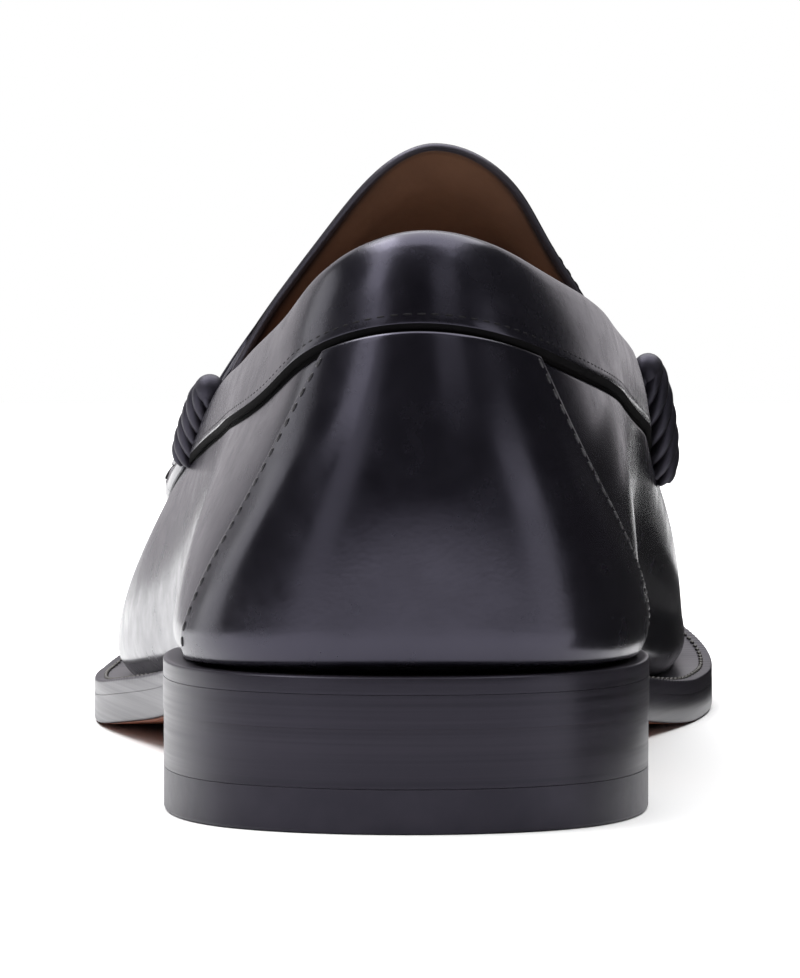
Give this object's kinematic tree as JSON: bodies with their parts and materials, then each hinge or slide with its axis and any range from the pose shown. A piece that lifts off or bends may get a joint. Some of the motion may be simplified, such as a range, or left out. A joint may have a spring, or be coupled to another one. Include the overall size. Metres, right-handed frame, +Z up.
{
  "type": "tassel loafer",
  "caption": "Left slip-on dress shoe with a hollow upper, collar band, saddle strap with rolled ends, tassels, welted leather sole and stacked heel.",
  "frame": {"origin": "on the floor under the middle of the sole's length and width", "axes": "+Y from heel to toe, +X to the inner side of the foot, +Z up"},
  "size_m": [0.1024, 0.298, 0.0942],
  "materials": {
    "upper_leather": "polished",
    "trim_leather": "satin",
    "insole_leather": "matte",
    "edge_leather": "burnished",
    "sole_leather": "waxed",
    "heel_rubber": "matte"
  },
  "bodies": {
    "root": {"upper": "upper_leather", "collar_band": "upper_leather", "heel_counter": "upper_leather", "apron": "upper_leather", "strap": "upper_leather", "roll_lateral": "trim_leather", "roll_medial": "trim_leather", "tassel_knot": "trim_leather", "tassel_lateral": "trim_leather", "tassel_medial": "trim_leather", "insole": "insole_leather", "welt": "edge_leather", "outsole": "sole_leather", "heel_stack": "edge_leather", "heel_lift": "heel_rubber"}
  },
  "joints": []
}
